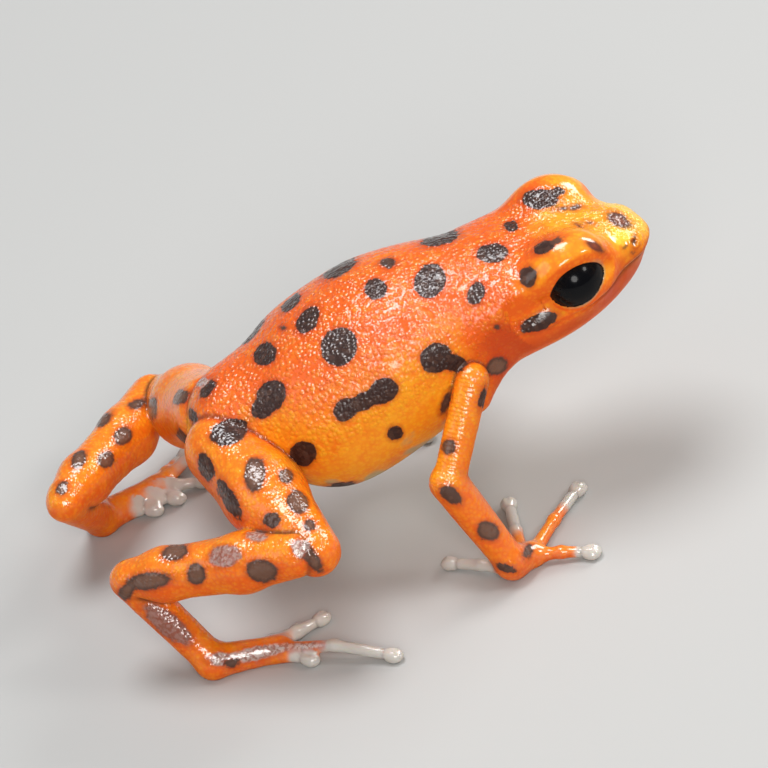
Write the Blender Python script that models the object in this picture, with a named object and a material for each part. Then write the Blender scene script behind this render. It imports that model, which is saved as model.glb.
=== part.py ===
"""A strawberry poison dart frog at life size, standing on a level floor.

The animal is one flowing body: a sum of rounded lumps (egg shapes and tapered rods)
that melt into each other. It is parted into the pieces that a person would name. Each
piece is a closed solid, and a thin gap parts it from its neighbours.

Places are in millimetres as (side, ahead, up): side is positive towards the frog's
left, ahead runs from the vent towards the snout, and up is the height over the floor.
In the scene the frog looks along -Y and its left side is towards +X.
"""

import math
from collections import namedtuple

import bmesh
import bpy
import numpy as np

# Driving dimensions, in millimetres
MM = 0.001
GAP = 0.14
FILLET_REACH = 0.30
EYE_GAP = 0.12
EYE_RADIUS = 1.42
CORNEA_RISE = 0.05
EYE_CENTRE = (2.42, 18.07, 10.92)
LID_RADIUS = 1.86
LID_INWARD = 0.10
LID_RISE = 0.17
LID_HALF_LENGTH = 1.37
LID_HALF_HEIGHT = 0.76
LID_OPENING_DEPTH = 0.4
THIGH_RADIUS = 1.75
KNEE_RADIUS = 1.12
CALF_RADIUS = 1.20
HEEL_RADIUS = 0.80
BALL_RADIUS = 0.68
INSTEP_RADIUS = 0.52
UPPER_ARM_RADIUS = 0.75
ELBOW_RADIUS = 0.71
FOREARM_RADIUS = 0.86
WRIST_RADIUS = 0.70
PALM_RADIUS = 0.55
DIGIT_RADIUS = 0.26
DIGIT_ROOT_RADIUS = 0.34
DIGIT_ROOT_UP = 0.38
DIGIT_UP = 0.25
DISC_HALF_LENGTH = 0.40
DISC_HALF_THICKNESS = 0.29
DISC_UP = 0.26

# Angles, in degrees
EYE_TURN = 5.0
EYE_LIFT = 20.0
LID_SLANT = 13.0
NECK_LEAN = 12.0

# The head is parted from the trunk at this place, and a hand from its forearm by a
# level cut at this height
NECK = (0.0, 14.9, 10.0)
WRIST_CUT_UP = 0.95

# Colours of the plain solids
ORANGE = (0.90, 0.16, 0.012)
TOE_CREAM = (0.62, 0.52, 0.40)
EYE_BLACK = (0.006, 0.005, 0.005)
SKIN_ROUGHNESS = 0.35
EYE_ROUGHNESS = 0.05

# Size of the cells from which each kind of piece is meshed, and the share of its
# triangles that stay when flat stretches are thinned out
CELLS = {
    "trunk": 0.36,
    "head": 0.17,
    "upper_arm": 0.22,
    "forearm": 0.22,
    "hand": 0.15,
    "thigh": 0.28,
    "shank": 0.26,
    "tarsus": 0.24,
    "foot": 0.16,
}
KEEP = {
    "trunk": 0.11,
    "head": 0.10,
    "upper_arm": 0.15,
    "forearm": 0.17,
    "hand": 0.15,
    "thigh": 0.12,
    "shank": 0.14,
    "tarsus": 0.19,
    "foot": 0.14,
}
PINCH_ROUNDS = 4

# The joints of the limbs
LEGS = {
    "right": {
        "hip": (-1.7, 1.3, 7.4),
        "knee": (-8.75, 3.75, 5.85),
        "heel": (-4.9, -4.4, 4.65),
        "ball": (-7.1, -2.0, 0.66),
        "instep": (-7.45, 0.9, 0.50),
    },
    "left": {
        "hip": (1.7, 1.3, 7.0),
        "knee": (9.0, -0.65, 3.3),
        "heel": (2.7, -6.2, 4.1),
        "ball": (5.5, -5.0, 0.66),
        "instep": (6.7, -2.3, 0.42),
    },
}
ARMS = {
    "right": {
        "shoulder": (-3.5, 13.0, 9.2),
        "elbow": (-6.2, 10.15, 5.25),
        "wrist": (-7.2, 11.7, 0.85),
        "palm": (-6.6, 12.6, 0.50),
    },
    "left": {
        "shoulder": (3.5, 13.0, 9.2),
        "elbow": (7.2, 10.0, 5.0),
        "wrist": (6.7, 8.0, 0.85),
        "palm": (6.3, 8.9, 0.50),
    },
}

# Tips of the digits as (side, ahead), the innermost digit first
FINGER_TIPS = {
    "right": ((-5.1, 9.1), (-2.3, 12.4), (-2.8, 15.5), (-7.5, 15.2)),
    "left": ((4.3, 7.3), (4.4, 9.9), (5.6, 12.2), (8.3, 11.0)),
}
TOE_TIPS = {
    "right": ((-6.5, 0.7), (-6.3, 2.0), (-6.05, 3.1), (-10.2, 5.6), (-8.65, 2.1)),
    "left": ((5.4, -2.6), (5.7, -1.5), (6.3, -0.1), (9.4, 2.1), (8.7, -0.6)),
}

# Digits, the innermost first: the width of the disc, how far along the palm or the sole
# the digit has its root, and the height of its knuckle
FINGERS = ((0.66, 0.10, 0.38), (0.80, 0.60, 0.42), (0.90, 1.00, 0.44), (0.90, 1.00, 0.42))
TOES = ((0.60, 0.35, 0.38), (0.64, 0.60, 0.40), (0.70, 0.85, 0.45), (0.78, 1.00, 0.75), (0.68, 0.80, 0.40))

# A distance beyond every lump, and how far around a lump its distance is worked out
FAR = 50.0
MARGIN = 1.0

Egg = namedtuple("Egg", "centre radii tilt turn blend")
Rod = namedtuple("Rod", "start end start_radius end_radius blend")
Piece = namedtuple("Piece", "name kind lumps pivot limb cuts")


def place(point):
    """The scene's axes for a (side, ahead, up) point, still in millimetres."""
    side, ahead, up = point
    return np.array([side, -ahead, up], float)


def between(start, end, share):
    """The point at a share of the way from start to end."""
    return tuple(a + (b - a) * share for a, b in zip(start, end))


def egg(centre, radii, blend, tilt=0.0, turn=0.0):
    """An ellipsoid: radii are (side, along, up), tilt raises its front end, and turn
    swings its front end towards the frog's left."""
    return Egg(place(centre), np.array(radii, float), tilt, turn, blend)


def rod(start, end, start_radius, end_radius, blend):
    """A round-ended rod whose radius changes evenly from start to end."""
    return Rod(place(start), place(end), start_radius, end_radius, blend)


# Distance to a lump, negative inside it


def egg_axes(lump):
    """Unit vectors of an egg's side, along and up directions."""
    tilt, turn = math.radians(lump.tilt), math.radians(lump.turn)
    along = place((math.sin(turn) * math.cos(tilt), math.cos(turn) * math.cos(tilt), math.sin(tilt)))
    side = place((math.cos(turn), -math.sin(turn), 0.0))
    return side, along, np.cross(along, side)


def egg_distance(lump, x, y, z):
    offset = (x - lump.centre[0], y - lump.centre[1], z - lump.centre[2])
    scaled = 0.0
    steep = 0.0
    for axis, radius in zip(egg_axes(lump), lump.radii):
        part = (offset[0] * axis[0] + offset[1] * axis[1] + offset[2] * axis[2]) / radius
        scaled = scaled + part**2
        steep = steep + (part / radius) ** 2
    scaled = np.sqrt(scaled)
    return scaled * (scaled - 1.0) / np.maximum(np.sqrt(steep), 1e-6)


def rod_distance(lump, x, y, z):
    length = lump.end - lump.start
    offset = (x - lump.start[0], y - lump.start[1], z - lump.start[2])
    share = sum(o * part for o, part in zip(offset, length)) / max(length @ length, 1e-9)
    share = np.clip(share, 0.0, 1.0)
    squared = sum((o - share * part) ** 2 for o, part in zip(offset, length))
    radius = lump.start_radius + share * (lump.end_radius - lump.start_radius)
    return np.sqrt(squared) - radius


def lump_distance(lump, x, y, z):
    if isinstance(lump, Egg):
        return egg_distance(lump, x, y, z)
    return rod_distance(lump, x, y, z)


def lump_box(lump):
    """Lowest and highest corners of a box around the lump."""
    if isinstance(lump, Egg):
        reach = float(max(lump.radii))
        return lump.centre - reach, lump.centre + reach
    reach = max(lump.start_radius, lump.end_radius)
    return np.minimum(lump.start, lump.end) - reach, np.maximum(lump.start, lump.end) + reach


def melt(first, second, blend):
    """The smaller of two distances, with a soft fillet of about the blend's size."""
    overlap = np.maximum(blend - np.abs(first - second), 0.0) / blend
    return np.minimum(first, second) - overlap**2 * blend / 4.0


# Fields: distances on a grid of points


def grid_over(lumps, cell):
    """The three coordinate lists of a grid around the lumps."""
    boxes = [lump_box(lump) for lump in lumps]
    low = np.min([box[0] for box in boxes], axis=0) - 3 * cell
    high = np.max([box[1] for box in boxes], axis=0) + 3 * cell
    return [np.arange(low[axis], high[axis] + cell, cell) for axis in range(3)]


def field_of(axes, lumps):
    """The distance to the lumps melted together, each worked out only near itself."""
    field = np.full([len(axis) for axis in axes], FAR)
    for lump in lumps:
        low, high = lump_box(lump)
        reach = MARGIN + lump.blend
        block = tuple(
            slice(*np.searchsorted(axes[axis], (low[axis] - reach, high[axis] + reach)))
            for axis in range(3)
        )
        x = axes[0][block[0]][:, None, None]
        y = axes[1][block[1]][None, :, None]
        z = axes[2][block[2]][None, None, :]
        if x.size and y.size and z.size:
            field[block] = melt(field[block], lump_distance(lump, x, y, z), lump.blend)
    return field


def fill_pinches(field, cell):
    """Fills the grid squares whose two opposite corners alone are inside, where the
    surface would touch itself along an edge."""
    for axis in range(3):
        second = (axis + 1) % 3
        for lean in (0, 1):
            corners = []
            for step in ((0, lean), (1, 1 - lean), (0, 1 - lean), (1, lean)):
                block = [slice(None)] * 3
                block[axis] = slice(step[0], step[0] - 1 or None)
                block[second] = slice(step[1], step[1] - 1 or None)
                corners.append(tuple(block))
            solid = [field[corner] < 0 for corner in corners]
            pinch = solid[0] & solid[1] & ~solid[2] & ~solid[3]
            field[corners[2]][pinch] = -0.1 * cell
    return field


def net_surface(field, axes):
    """Points and four-sided faces where the field is zero: one point in each cell that
    the surface passes through, and one face around each grid edge that it crosses."""
    inside = field < 0
    cells = np.array(field.shape) - 1
    strides = np.array([cells[1] * cells[2], cells[2], 1])
    owners, spots, flips = [], [], []
    for axis in range(3):
        near, far = [slice(None)] * 3, [slice(None)] * 3
        near[axis], far[axis] = slice(None, -1), slice(1, None)
        near, far = tuple(near), tuple(far)
        edges = np.argwhere(inside[near] != inside[far])
        start = field[near][tuple(edges.T)]
        end = field[far][tuple(edges.T)]
        spot = np.stack([axes[k][edges[:, k]] for k in range(3)], axis=1)
        step = axes[axis][edges[:, axis] + 1] - axes[axis][edges[:, axis]]
        spot[:, axis] += step * start / (start - end)
        second, third = (axis + 1) % 3, (axis + 2) % 3
        around = []
        for down_second, down_third in ((1, 1), (0, 1), (0, 0), (1, 0)):
            cell = edges.copy()
            cell[:, second] -= down_second
            cell[:, third] -= down_third
            around.append(cell @ strides)
        owners.append(np.stack(around, axis=1))
        spots.append(spot)
        flips.append(start > 0)
    owners, spots, flips = map(np.concatenate, (owners, spots, flips))
    used, faces = np.unique(owners, return_inverse=True)
    faces = faces.reshape(-1, 4)
    count = np.bincount(faces.ravel(), minlength=len(used))
    points = np.stack(
        [
            np.bincount(faces.ravel(), np.repeat(spots[:, k], 4), len(used)) / count
            for k in range(3)
        ],
        axis=1,
    )
    faces[flips] = faces[flips][:, ::-1]
    return points, faces


# Lumps of each piece


def trunk_lumps():
    """The trunk from the vent to the neck, with a breast muscle in front of each arm."""
    lumps = [
        egg((0, 2.7, 7.65), (2.7, 2.6, 2.4), 1.0),
        egg((0, 6.5, 7.5), (4.8, 4.1, 4.0), 1.3, tilt=6),
        egg((0, 9.25, 8.55), (4.65, 4.45, 4.1), 1.3, tilt=14),
        egg((0, 12.3, 9.45), (3.65, 3.3, 2.95), 1.7, tilt=18),
        egg((0, 14.6, 9.75), (3.2, 3.0, 2.55), 1.3, tilt=6),
    ]
    for side in (-1, 1):
        lumps.append(rod((side * 2.8, 13.6, 8.35), (side * 3.6, 12.3, 7.5), 0.65, 0.9, 0.9))
    return lumps


def head_lumps():
    """The skull, the muzzle and the jaw, and on each side the temple, the dome of the
    lids and the ridge from the eye to the nostril."""
    lumps = [
        egg((0, 17.1, 10.35), (3.35, 3.4, 2.0), 1.2),
        egg((0, 19.5, 10.46), (2.0, 2.3, 1.52), 1.0, tilt=-2.6),
        egg((0, 16.71, 9.13), (3.28, 4.06, 1.48), 1.0, tilt=12.4),
    ]
    for side in (-1, 1):
        lid = (side * (EYE_CENTRE[0] - LID_INWARD), EYE_CENTRE[1], EYE_CENTRE[2] + LID_RISE)
        lumps.append(rod((side * 2.3, 17.3, 10.8), (side * 2.0, 14.6, 10.4), 1.4, 1.3, 0.9))
        lumps.append(egg(lid, (LID_RADIUS,) * 3, 0.7))
        lumps.append(rod((side * 1.75, 19.0, 10.87), (side * 1.05, 20.8, 10.58), 0.64, 0.48, 0.6))
    return lumps


def thigh_lumps(leg):
    middle = between(leg["hip"], leg["knee"], 0.45)
    return [
        rod(leg["hip"], middle, THIGH_RADIUS, THIGH_RADIUS, 0.7),
        rod(middle, leg["knee"], THIGH_RADIUS, KNEE_RADIUS, 0.7),
    ]


def shank_lumps(leg):
    calf = between(leg["knee"], leg["heel"], 0.35)
    return [
        rod(leg["knee"], calf, KNEE_RADIUS, CALF_RADIUS, 0.4),
        rod(calf, leg["heel"], CALF_RADIUS, HEEL_RADIUS, 0.4),
    ]


def tarsus_lumps(leg):
    return [rod(leg["heel"], leg["ball"], HEEL_RADIUS, BALL_RADIUS, 0.4)]


def digit_lumps(root, tip, disc_width, knuckle_up):
    """A finger or toe: two rods over a knuckle, and a flat disc at its tip."""
    tip_point = tip + (DIGIT_UP,)
    knuckle = between(root, tip_point, 0.5)[:2] + (knuckle_up,)
    disc_radii = (disc_width / 2, DISC_HALF_LENGTH, DISC_HALF_THICKNESS)
    heading = math.degrees(math.atan2(tip[0] - root[0], tip[1] - root[1]))
    return [
        rod(root, knuckle, DIGIT_ROOT_RADIUS, DIGIT_RADIUS, 0.2),
        rod(knuckle, tip_point, DIGIT_RADIUS, DIGIT_RADIUS, 0.2),
        egg(tip + (DISC_UP,), disc_radii, 0.15, turn=heading),
    ]


def digits(start, end, tips, table):
    """The digits rooted between the start and the end of a palm or sole."""
    lumps = []
    for tip, (disc_width, share, knuckle_up) in zip(tips, table):
        root = between(start, end, share)[:2] + (DIGIT_ROOT_UP,)
        lumps += digit_lumps(root, tip, disc_width, knuckle_up)
    return lumps


def foot_lumps(leg, tips):
    """The sole from the ball to the instep, and five toes."""
    sole = rod(leg["ball"], leg["instep"], BALL_RADIUS, INSTEP_RADIUS, 0.4)
    return [sole] + digits(leg["ball"], leg["instep"], tips, TOES)


def hand_lumps(arm, tips):
    """The palm and four fingers."""
    palm = rod(arm["wrist"], arm["palm"], WRIST_RADIUS, PALM_RADIUS, 0.4)
    return [palm] + digits(arm["wrist"], arm["palm"], tips, FINGERS)


def joint_cuts(points):
    """For each joint inside a limb, the flat cut that halves its bend."""
    points = [place(point) for point in points]
    cuts = []
    for before, joint, after in zip(points, points[1:], points[2:]):
        arriving = (joint - before) / np.linalg.norm(joint - before)
        leaving = (after - joint) / np.linalg.norm(after - joint)
        facing = arriving + leaving
        cuts.append((joint, facing / np.linalg.norm(facing)))
    return cuts


def limb_pieces(side, kinds, joints, cuts, lumps):
    """The pieces of a limb from its root to its digits, parted at its joints."""
    flesh = [lump for group in lumps for lump in group]
    found = []
    for index, (kind, own) in enumerate(zip(kinds, lumps)):
        mine = cuts[index - 1 : index] if index else []
        if index < len(cuts):
            point, facing = cuts[index]
            mine = mine + [(point, -facing)]
        found.append(Piece(kind + "_" + side, kind, own, joints[index], flesh, mine))
    return found


def arm_pieces(side):
    arm = ARMS[side]
    lumps = [
        [rod(arm["shoulder"], arm["elbow"], UPPER_ARM_RADIUS, ELBOW_RADIUS, 0.6)],
        [rod(arm["elbow"], arm["wrist"], FOREARM_RADIUS, WRIST_RADIUS, 0.35)],
        hand_lumps(arm, FINGER_TIPS[side]),
    ]
    joints = list(arm.values())
    level = (place((0, 0, WRIST_CUT_UP)), place((0, 0, -1)))
    cuts = joint_cuts(joints)[:1] + [level]
    return limb_pieces(side, ("upper_arm", "forearm", "hand"), joints, cuts, lumps)


def leg_pieces(side):
    leg = LEGS[side]
    lumps = [
        thigh_lumps(leg),
        shank_lumps(leg),
        tarsus_lumps(leg),
        foot_lumps(leg, TOE_TIPS[side]),
    ]
    joints = list(leg.values())
    kinds = ("thigh", "shank", "tarsus", "foot")
    return limb_pieces(side, kinds, joints, joint_cuts(joints), lumps)


def pieces():
    """Every piece of flesh."""
    torso = trunk_lumps() + head_lumps()
    neck = place(NECK)
    lean = math.radians(NECK_LEAN)
    ahead = place((0, math.cos(lean), math.sin(lean)))
    found = [
        Piece("trunk", "trunk", torso, (0, 7.5, 8.0), torso, [(neck, -ahead)]),
        Piece("head", "head", torso, NECK, torso, [(neck, ahead)]),
    ]
    for side in ("right", "left"):
        found += arm_pieces(side) + leg_pieces(side)
    return found


# Cuts


def eye_frame(side):
    """The eye's centre and its outward, forward and upward directions."""
    centre = place((side * EYE_CENTRE[0], EYE_CENTRE[1], EYE_CENTRE[2]))
    turn, lift = math.radians(EYE_TURN), math.radians(EYE_LIFT)
    outward = place(
        (side * math.cos(lift) * math.cos(turn), math.cos(lift) * math.sin(turn), math.sin(lift))
    )
    level = np.cross((0.0, 0.0, 1.0), outward)
    level *= -side / np.linalg.norm(level)
    upward = np.cross(outward, level) * -side
    slant = math.radians(LID_SLANT)
    forward = level * math.cos(slant) + upward * math.sin(slant)
    upward = upward * math.cos(slant) - level * math.sin(slant)
    return centre, outward, forward, upward


def carve_eye(field, axes, side):
    """Hollows the head round the eyeball and opens the lids in an almond."""
    x, y, z = axes[0][:, None, None], axes[1][None, :, None], axes[2][None, None, :]
    centre, outward, forward, upward = eye_frame(side)
    offset = (x - centre[0], y - centre[1], z - centre[2])
    depth, run, rise = (
        sum(o * part for o, part in zip(offset, axis)) for axis in (outward, forward, upward)
    )
    ball = np.sqrt(depth**2 + run**2 + rise**2) - (EYE_RADIUS + EYE_GAP)
    arc = (LID_HALF_LENGTH**2 + LID_HALF_HEIGHT**2) / (2 * LID_HALF_HEIGHT)
    drop = arc - LID_HALF_HEIGHT
    almond = np.sqrt(run**2 + (np.abs(rise) + drop) ** 2) - arc
    opening = np.maximum(almond, LID_OPENING_DEPTH - depth)
    return np.maximum(field, -np.minimum(ball, opening))


def piece_field(piece, torso, axes):
    """The piece's share of its limb, cut off at its joints and at the torso."""
    x, y, z = axes[0][:, None, None], axes[1][None, :, None], axes[2][None, None, :]
    field = field_of(axes, piece.limb)
    for point, facing in piece.cuts:
        beyond = sum((p - q) * part for p, q, part in zip((x, y, z), point, facing))
        field = np.maximum(field, GAP / 2 - beyond)
    if piece.limb is torso:
        if piece.name == "head":
            for side in (-1, 1):
                field = carve_eye(field, axes, side)
        return field
    field = np.maximum(field, field_of(axes, piece.lumps) - FILLET_REACH)
    field = np.maximum(field, GAP - field_of(axes, torso))
    return np.maximum(field, -z)


# Objects


def material(name, colour, roughness):
    made = bpy.data.materials.new(name)
    made.use_nodes = True
    shader = made.node_tree.nodes["Principled BSDF"]
    shader.inputs["Base Color"].default_value = colour + (1.0,)
    shader.inputs["Roughness"].default_value = roughness
    shader.inputs["Metallic"].default_value = 0.0
    return made


def add_object(name, points, faces, pivot, surface):
    """A mesh object whose origin is at its pivot; points and pivot in millimetres."""
    mesh = bpy.data.meshes.new(name)
    mesh.from_pydata(((points - pivot) * MM).tolist(), [], faces)
    mesh.update()
    mesh.shade_smooth()
    made = bpy.data.objects.new(name, mesh)
    made.location = pivot * MM
    made.data.materials.append(surface)
    bpy.context.scene.collection.objects.link(made)
    return made


def add_piece(piece, torso, surface):
    axes = grid_over(piece.lumps, CELLS[piece.kind])
    field = piece_field(piece, torso, axes)
    for _ in range(PINCH_ROUNDS):
        field = fill_pinches(field, CELLS[piece.kind])
    points, faces = net_surface(field, axes)
    made = add_object(piece.name, points, faces.tolist(), place(piece.pivot), surface)
    thin = made.modifiers.new("thin flat stretches", "DECIMATE")
    thin.ratio = KEEP[piece.kind]
    thin.use_collapse_triangulate = True
    return made


def add_eye(name, side, surface):
    """An eyeball with a slightly raised cornea towards the lids' opening."""
    centre, outward, _, _ = eye_frame(side)
    ball = bmesh.new()
    bmesh.ops.create_uvsphere(ball, u_segments=16, v_segments=10, radius=1.0)
    points = []
    for vertex in ball.verts:
        facing = max(0.0, float(np.dot(vertex.co, outward)))
        points.append(centre + np.array(vertex.co) * (EYE_RADIUS + CORNEA_RISE * facing**6))
    faces = [[vertex.index for vertex in face.verts] for face in ball.faces]
    ball.free()
    return add_object(name, np.array(points), faces, centre, surface)


def centre_over_origin(objects):
    """Moves all of it so that the middle of its box stands over the origin."""
    bpy.context.view_layer.update()
    graph = bpy.context.evaluated_depsgraph_get()
    corners = []
    for made in objects:
        evaluated = made.evaluated_get(graph)
        points = np.array([made.matrix_world @ vertex.co for vertex in evaluated.data.vertices])
        corners += [points.min(axis=0), points.max(axis=0)]
    low, high = np.min(corners, axis=0), np.max(corners, axis=0)
    for made in objects:
        made.location.x -= (low[0] + high[0]) / 2
        made.location.y -= (low[1] + high[1]) / 2
        made.location.z -= low[2]


def main():
    for old in list(bpy.data.objects):
        bpy.data.objects.remove(old)
    skin = material("skin", ORANGE, SKIN_ROUGHNESS)
    toes = material("toe_skin", TOE_CREAM, SKIN_ROUGHNESS)
    eye = material("eye", EYE_BLACK, EYE_ROUGHNESS)
    flesh = pieces()
    torso = flesh[0].limb
    objects = []
    for piece in flesh:
        surface = toes if piece.kind in ("hand", "foot") else skin
        objects.append(add_piece(piece, torso, surface))
    objects.append(add_eye("eye_right", -1, eye))
    objects.append(add_eye("eye_left", 1, eye))
    centre_over_origin(objects)


main()
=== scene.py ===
"""The looks of a life-size strawberry poison dart frog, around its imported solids.

One skin covers the whole animal. It is built from the same rounded lumps as the solids,
melted together with no gaps, and then gets lids, nostrils, a mouth, toe discs and
granules. Its spots are placed where the photo shows them, by looking through the photo's
camera, and the side that the photo hides gets spots of the same kind.

Places are in millimetres as (side, ahead, up): side is positive towards the frog's
left, ahead runs from the vent towards the snout, and up is the height over the floor.
"""

import math
from collections import namedtuple
from functools import partial

import bmesh
import bpy
import numpy as np
from mathutils import Matrix, Vector
from mathutils.bvhtree import BVHTree


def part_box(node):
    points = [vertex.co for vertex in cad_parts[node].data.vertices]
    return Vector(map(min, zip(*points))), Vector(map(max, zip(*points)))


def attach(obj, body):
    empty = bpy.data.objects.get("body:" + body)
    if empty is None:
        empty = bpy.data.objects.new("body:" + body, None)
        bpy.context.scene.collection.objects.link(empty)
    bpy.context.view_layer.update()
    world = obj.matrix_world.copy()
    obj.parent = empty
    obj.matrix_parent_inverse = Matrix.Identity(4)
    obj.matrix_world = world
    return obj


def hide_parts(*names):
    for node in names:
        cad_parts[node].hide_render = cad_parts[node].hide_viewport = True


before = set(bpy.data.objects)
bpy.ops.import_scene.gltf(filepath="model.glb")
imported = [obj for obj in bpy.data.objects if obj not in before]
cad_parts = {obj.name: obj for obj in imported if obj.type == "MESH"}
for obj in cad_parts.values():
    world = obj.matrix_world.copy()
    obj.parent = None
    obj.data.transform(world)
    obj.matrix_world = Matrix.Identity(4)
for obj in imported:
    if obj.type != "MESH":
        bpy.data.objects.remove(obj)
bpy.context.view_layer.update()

# Driving dimensions of the body, in millimetres, as in the solids
MM = 0.001
EYE_RADIUS = 1.42
CORNEA_RISE = 0.05
EYE_CENTRE = (2.42, 18.07, 10.92)
LID_RADII = (1.70, 1.92, 1.77)
LID_INWARD = 0.20
LID_RISE = 0.34
THIGH_RADIUS = 1.75
KNEE_RADIUS = 1.12
SHIN_RADIUS = 1.02
CALF_RADIUS = 1.28
ANKLE_RADIUS = 1.14
HEEL_RADIUS = 0.93
TARSUS_RADIUS = 0.85
BALL_RADIUS = 0.75
INSTEP_RADIUS = 0.55
UPPER_ARM_RADIUS = 0.75
ELBOW_RADIUS = 0.71
FOREARM_RADIUS = 0.86
WRIST_RADIUS = 0.70
PALM_RADIUS = 0.55
DIGIT_RADIUS = 0.25
DIGIT_WEB = 0.40
DIGIT_ROOT_RADIUS = 0.34
DIGIT_ROOT_UP = 0.38
DIGIT_UP = 0.25
DISC_HALF_LENGTH = 0.39
DISC_HALF_THICKNESS = 0.24
DISC_UP = 0.22
EYE_TURN = 5.0
EYE_LIFT = 20.0
LID_SLANT = 13.0

Leg = namedtuple("Leg", "hip knee heel ball instep")
Arm = namedtuple("Arm", "shoulder elbow wrist palm")
LEGS = {
    "right": Leg(
        (-1.7, 1.3, 7.4), (-8.75, 3.75, 5.85), (-4.9, -4.4, 4.65),
        (-7.1, -2.0, 0.66), (-7.45, 0.9, 0.50),
    ),
    "left": Leg(
        (1.7, 1.3, 7.0), (9.0, -0.65, 3.3), (2.7, -6.2, 4.1),
        (5.5, -5.0, 0.66), (6.7, -2.3, 0.42),
    ),
}
ARMS = {
    "right": Arm((-3.5, 13.0, 9.2), (-6.2, 10.15, 5.25), (-7.2, 11.7, 0.85), (-6.6, 12.6, 0.50)),
    "left": Arm((3.5, 13.0, 9.2), (7.2, 10.0, 5.0), (6.7, 8.0, 0.85), (6.3, 8.9, 0.50)),
}
FINGER_TIPS = {
    "right": ((-5.1, 9.1), (-2.3, 12.4), (-2.8, 15.5), (-7.5, 15.2)),
    "left": ((4.3, 7.3), (4.4, 9.9), (5.6, 12.2), (8.3, 11.0)),
}
TOE_TIPS = {
    "right": ((-6.5, 0.7), (-6.3, 2.0), (-6.05, 3.1), (-10.2, 5.6), (-8.65, 2.1)),
    "left": ((5.4, -2.6), (5.7, -1.5), (6.3, -0.1), (9.4, 2.1), (8.7, -0.6)),
}
# For each digit: the width of its disc, where it is rooted from wrist to palm or from ball
# to instep, and the height of its knuckle; then the length of its pale part
FINGERS = ((0.54, 0.10, 0.38), (0.72, 0.60, 0.42), (0.84, 1.00, 0.44), (0.88, 1.00, 0.42))
TOES = (
    (0.52, 0.35, 0.38), (0.54, 0.60, 0.40), (0.58, 0.85, 0.45), (0.70, 1.00, 0.75),
    (0.60, 0.80, 0.40),
)
FINGER_PALE = (2.9, 2.8, 1.7, 0.8)
TOE_PALE = (1.0, 1.4, 2.2, 3.9, 1.0)

# How softly a limb runs into the trunk. Places along the upper arm and along the shank are
# shares of its length, each with how far it is moved outwards and up, to lap over the joint
LIMB_BLEND = 0.14
LAP_OUTWARDS = 0.81
LAP_UPWARDS = 0.59
SHOULDER = (0.17, 0.30)
SHIN, CALF, ANKLE, HEEL = (0.10, 0.58), (0.38, 0.12), (0.80, 0.12), (0.97, 0.10)

# The skin's mesh: the cell of its first net, the edge lengths wanted in finer places, how
# far past them an edge is split, how near two parts lie in a fold, its half width and
# depth, the distance far from every lump, how far past a lump its own is worked out, and
# the longest step and gentlest slope with which a point is moved onto the skin
CELL = 0.20
FINE = 0.09
LID_FINE = 0.042
FOLD_FINE = 0.07
TOO_LONG = 1.4
FOLD_REACH = 0.3
FOLD_HALF_WIDTH = 0.10
FOLD_DEPTH = 0.04
FAR = 50.0
MARGIN = 1.0
LONGEST_STEP = 0.25
GENTLEST_SLOPE = 0.05

# Lids: the edge of the opening, laid flat over the eyeball as (forward, up) corners from
# the middle of its outward side; the lid's thickness at its rim and how it grows away
# from it; the upper lid's rounded lip; the angle from the eye's outward side past which
# the head is free of the lid; how far the skin dips under the eyeball inside the opening;
# and how softly the lid runs into the head, at its rim and away from it
LID_CORNERS = (
    (-1.67, -0.05), (-1.51, -0.46), (-1.17, -0.80), (-0.66, -0.955), (-0.10, -1.0),
    (0.35, -0.92), (0.90, -0.70), (1.35, -0.46), (1.575, -0.20), (1.45, 0.12),
    (1.09, 0.445), (0.60, 0.67), (0.0, 0.765), (-0.63, 0.68), (-1.28, 0.33),
)
LID_STEPS = 4
LID_REACH = 3.5
LID_THICKNESS = 0.05
LID_SLOPE = 0.30
LID_CURVE = 0.30
LID_LIP = 0.46
LID_LIP_REACH = 0.55
LID_FREE_TURN = 0.98
LID_FREE = 8.0
LID_DIP = 0.11
LID_BLEND = 0.05
LID_BLEND_AWAY = 0.4

# Mouth: its height at the snout, where it starts to drop towards its corners, and the
# groove's depth and half width
MOUTH_UP = 10.30
MOUTH_LEVEL_AHEAD = 21.2
MOUTH_DROP = 0.035
MOUTH_CORNER_AHEAD = 16.2
MOUTH_DEPTH = 0.10
MOUTH_HALF_WIDTH = 0.08
JAW_INSET = 0.05
JAW_FRONT_INSET = 0.10

# Granules of the back: their spacing and height, and the numbers that scatter them
GRANULE_SPACING = 0.34
GRANULE_HEIGHT = 0.03
GRANULE_HASH = np.array([73856093, 19349663, 83492791])
GRANULE_JITTER = np.array([0.131, 0.217, 0.317])

# The photo's camera, in the frog's own axes: where it looks, from which side, how high,
# how far it is rolled, its distance, and the photo's scale in pixels to the millimetre
PHOTO_PIXELS = 768
LOOKS_AT = (-1.2180879, 8.80675168, 7.75166199)
CAMERA_AZIMUTH = -90.0
CAMERA_ELEVATION = 36.0
CAMERA_ROLL = 18.0
CAMERA_DISTANCE = 500.0
PHOTO_SCALE = 22.9
SENSOR = 36.0

Egg = namedtuple("Egg", "centre radii tilt turn blend")
Rod = namedtuple("Rod", "start end start_radius end_radius blend")
Digit = namedtuple("Digit", "root tip heading pale")
Spot = namedtuple("Spot", "centre normal along long_axis short_axis tone")


def place(point):
    """The scene's axes for a (side, ahead, up) point, still in millimetres."""
    side, ahead, up = point
    return np.array([side, -ahead, up], float)


def between(start, end, share):
    """The point at a share of the way from start to end."""
    return tuple(a + (b - a) * share for a, b in zip(start, end))


def egg(centre, radii, blend, tilt=0.0, turn=0.0):
    """An ellipsoid: radii are (side, along, up), tilt raises its front end, and turn
    swings its front end towards the frog's left."""
    return Egg(place(centre), np.array(radii, float), tilt, turn, blend)


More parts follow.
